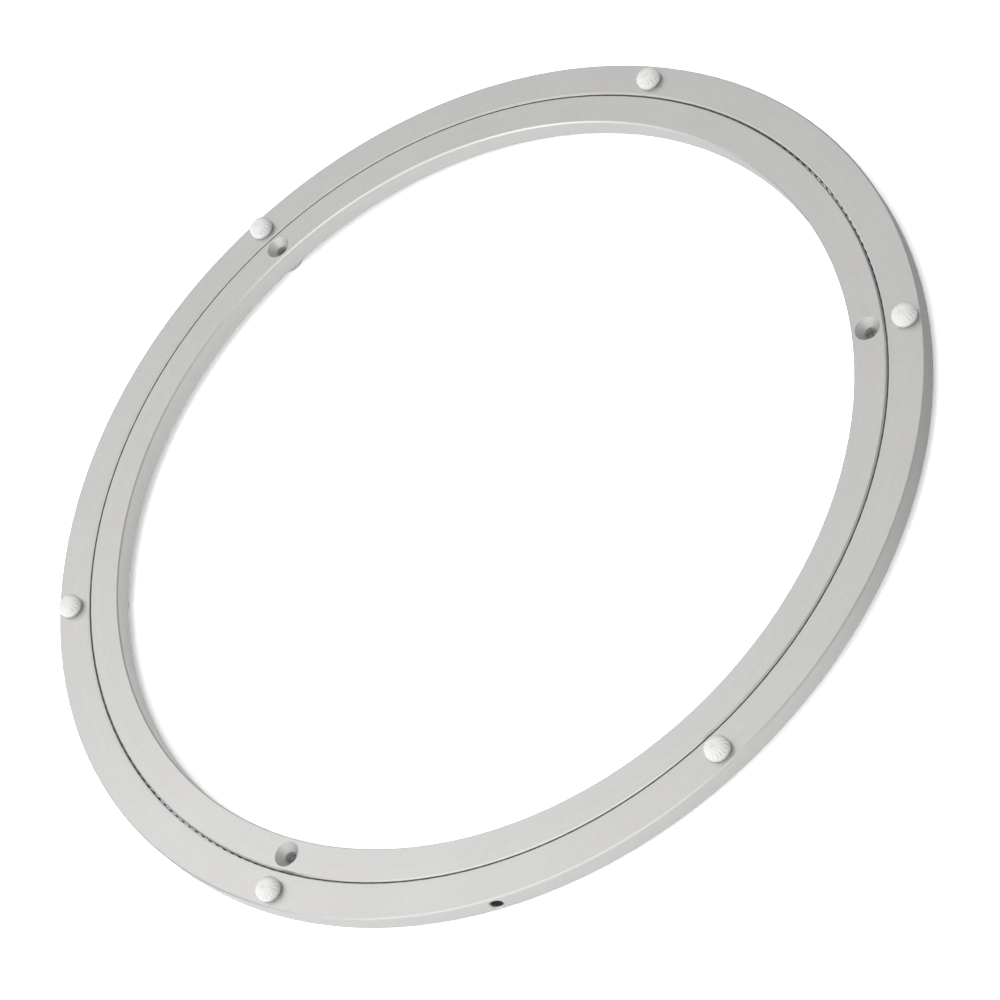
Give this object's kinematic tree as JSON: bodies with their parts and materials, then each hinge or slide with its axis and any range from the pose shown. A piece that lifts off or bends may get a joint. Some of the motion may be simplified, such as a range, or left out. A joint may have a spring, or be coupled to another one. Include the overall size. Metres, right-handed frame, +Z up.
{
  "type": "lazy susan bearing",
  "caption": "Flat turntable bearing of two concentric aluminium rings with a hidden ball race, countersunk screw holes and soft pads that the turntable top lies on.",
  "frame": {"origin": "on the table at the centre of the rings, below the base pads", "axes": "+Z up along the axis of turning; +Y points at one screw hole, -Y at the middle between the two others"},
  "size_m": [0.35, 0.35, 0.0168],
  "materials": {
    "ring_aluminium": "satin anodised",
    "ball_steel": "polished",
    "plug_steel": "black oxide",
    "pad_silicone": "white, soft"
  },
  "bodies": {
    "base": {"inner_ring": "ring_aluminium", "base_pad_1": "pad_silicone", "base_pad_2": "pad_silicone", "base_pad_3": "pad_silicone", "base_pad_4": "pad_silicone", "base_pad_5": "pad_silicone", "base_pad_6": "pad_silicone"},
    "turntable": {"outer_ring": "ring_aluminium", "loading_plug": "plug_steel", "top_pad_1": "pad_silicone", "top_pad_2": "pad_silicone", "top_pad_3": "pad_silicone", "top_pad_4": "pad_silicone", "top_pad_5": "pad_silicone", "top_pad_6": "pad_silicone"},
    "ball_row": {"balls": "ball_steel"}
  },
  "joints": [
    {"name": "turntable_turn", "type": "hinge", "parent": "base", "child": "turntable", "pos_m": [0, 0, 0.0084], "axis": [0, 0, 1], "continuous": true},
    {"name": "ball_row_turn", "type": "hinge", "parent": "base", "child": "ball_row", "pos_m": [0, 0, 0.0084], "axis": [0, 0, 1], "continuous": true}
  ],
  "couplings": [
    {"joint": "ball_row_turn", "follows": "turntable_turn", "ratio": 0.5061}
  ]
}
